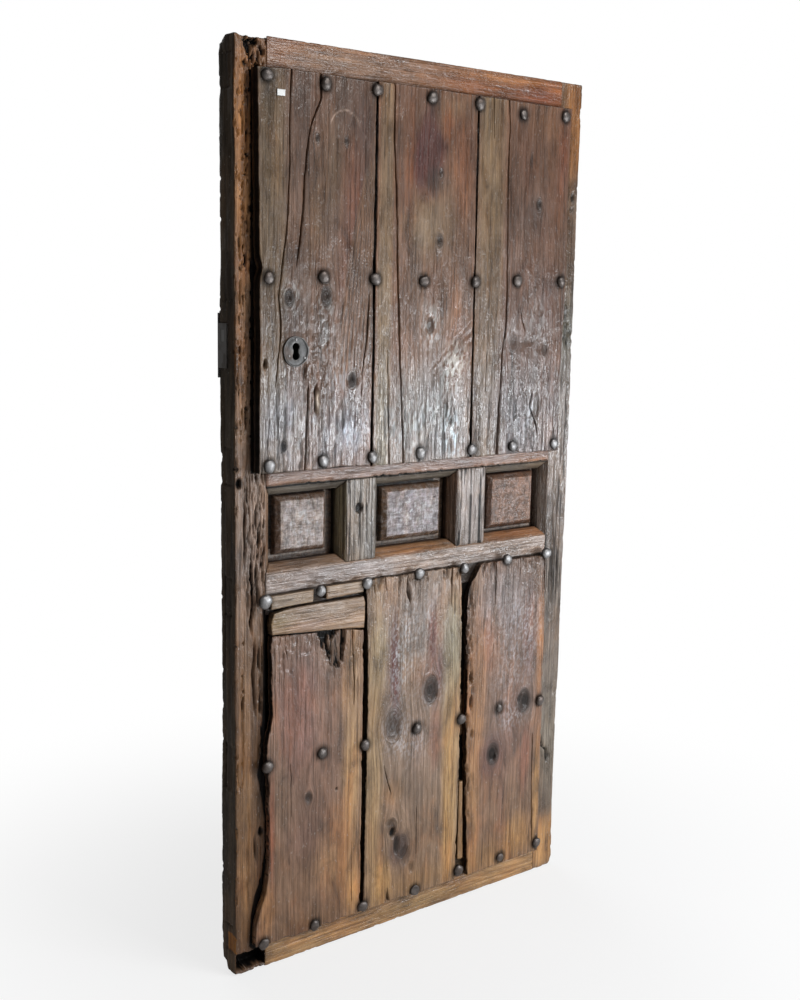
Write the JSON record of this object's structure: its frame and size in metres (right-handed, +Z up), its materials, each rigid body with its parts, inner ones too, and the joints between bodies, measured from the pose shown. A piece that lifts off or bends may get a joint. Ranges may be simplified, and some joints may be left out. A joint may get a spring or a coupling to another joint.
{
  "type": "plank and panel door leaf",
  "caption": "Weathered wooden door leaf with a tenoned frame, nailed boards above and below a row of raised panels, and an iron rim lock.",
  "frame": {"origin": "the middle of the leaf's foot: halfway across its width and halfway through its depth over nails and lock, at the bottom edge", "axes": "+Z up the leaf; +X towards the hanging edge, -X towards the closing edge; -Y out of the nailed front, +Y out of the back with the lock"},
  "size_m": [0.951, 0.1036, 1.95],
  "materials": {
    "stile_wood_dark": "weathered, waxed",
    "frame_wood_grey": "weathered, waxed",
    "frame_wood_brown": "weathered, waxed",
    "rail_wood_tan": "weathered, waxed",
    "panel_wood": "crazed wax",
    "upper_board_wood": "weathered, waxed",
    "lower_board_wood": "weathered, waxed",
    "patch_wood": "weathered, waxed",
    "forged_iron": "dark, worn bright on the domes",
    "plate_iron": "dark, lightly rusted",
    "lock_iron": "dull, greased",
    "paper": "matte"
  },
  "bodies": {
    "leaf": {"closing_stile": "stile_wood_dark", "hanging_stile": "frame_wood_grey", "top_rail": "frame_wood_brown", "upper_back_rail": "frame_wood_brown", "frieze_top_rail": "frame_wood_brown", "frieze_bottom_rail": "frame_wood_brown", "lower_back_rail": "frame_wood_brown", "bottom_rail": "rail_wood_tan", "mullion_left": "frame_wood_grey", "mullion_right": "frame_wood_grey", "panel_left": "panel_wood", "panel_middle": "panel_wood", "panel_right": "panel_wood", "upper_board_left": "upper_board_wood", "upper_board_middle": "upper_board_wood", "upper_board_right": "upper_board_wood", "lower_board_left": "lower_board_wood", "lower_board_middle": "lower_board_wood", "lower_board_right": "lower_board_wood", "patch_board": "patch_wood", "patch_lath_left": "patch_wood", "patch_lath_right": "patch_wood", "seam_sliver": "lower_board_wood", "back_lath_closing": "frame_wood_brown", "back_lath_left": "frame_wood_brown", "back_lath_right": "frame_wood_brown", "upper_board_nails": "forged_iron", "lower_board_nails": "forged_iron", "escutcheon": "plate_iron", "escutcheon_pins": "forged_iron", "lock_block": "frame_wood_brown", "lock_case": "plate_iron", "lock_plate": "plate_iron", "lock_bolt_guide": "lock_iron", "lock_spring": "lock_iron", "lock_nails": "forged_iron", "paper_tag": "paper"},
    "bolt": {"lock_bolt": "lock_iron"}
  },
  "joints": [
    {"name": "bolt_slide", "type": "slide", "parent": "leaf", "child": "bolt", "axis": [-1, 0, 0], "range_m": [0, 0.026]}
  ]
}
